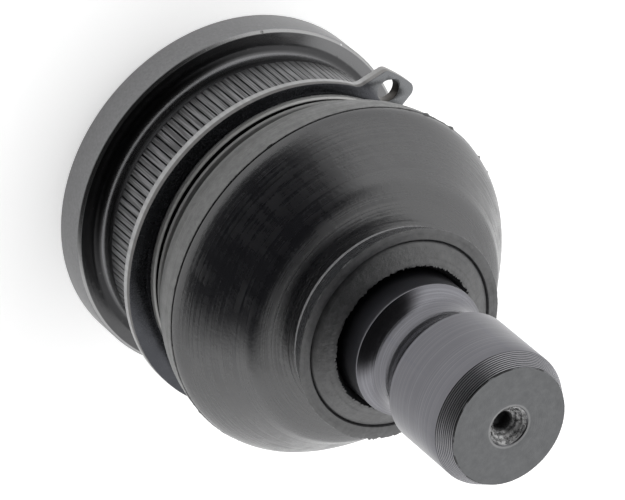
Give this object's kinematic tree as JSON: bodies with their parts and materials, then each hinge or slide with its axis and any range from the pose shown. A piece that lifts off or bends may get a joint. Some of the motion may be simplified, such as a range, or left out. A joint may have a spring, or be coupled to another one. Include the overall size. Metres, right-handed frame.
{
  "type": "suspension ball joint",
  "caption": "Press-in suspension ball joint with a knurled flanged housing, circlip, rubber boot and a ball stud grooved for a pinch bolt.",
  "frame": {"origin": "centre of the ball, on the axis of the press-fit body", "axes": "+Z out along the stud at rest; the gap of the circlip faces -X"},
  "size_m": [0.0561, 0.0556, 0.0805],
  "materials": {
    "housing_steel": "phosphated and oiled",
    "cap_steel": "pressed sheet, phosphated",
    "spring_steel": "hardened, oiled",
    "seat_plastic": "moulded acetal",
    "stud_steel": "ground",
    "boot_rubber": "moulded, semi-gloss",
    "ring_steel": "bright drawn",
    "circlip_steel": "phosphated black"
  },
  "bodies": {
    "housing": {"housing": "housing_steel", "closing_cap": "cap_steel", "disc_spring": "spring_steel", "seat_back": "seat_plastic", "seat_front": "seat_plastic", "circlip": "circlip_steel", "boot_clamp_ring": "ring_steel"},
    "boot": {"boot": "boot_rubber"},
    "collar": {"boot_neck_ring": "ring_steel"},
    "stud": {"ball_stud": "stud_steel"}
  },
  "joints": [
    {"name": "lean_direction", "type": "hinge", "parent": "housing", "child": "boot", "pos_m": [0, 0, 0], "axis": [0, 0, 1], "continuous": true},
    {"name": "lean", "type": "hinge", "parent": "boot", "child": "collar", "pos_m": [0, 0, 0], "axis": [1, 0, 0], "range_deg": [-22, 22], "deforming": ["boot"]},
    {"name": "stud_spin", "type": "hinge", "parent": "collar", "child": "stud", "pos_m": [0, 0, 0], "axis": [0, 0, 1], "continuous": true}
  ]
}
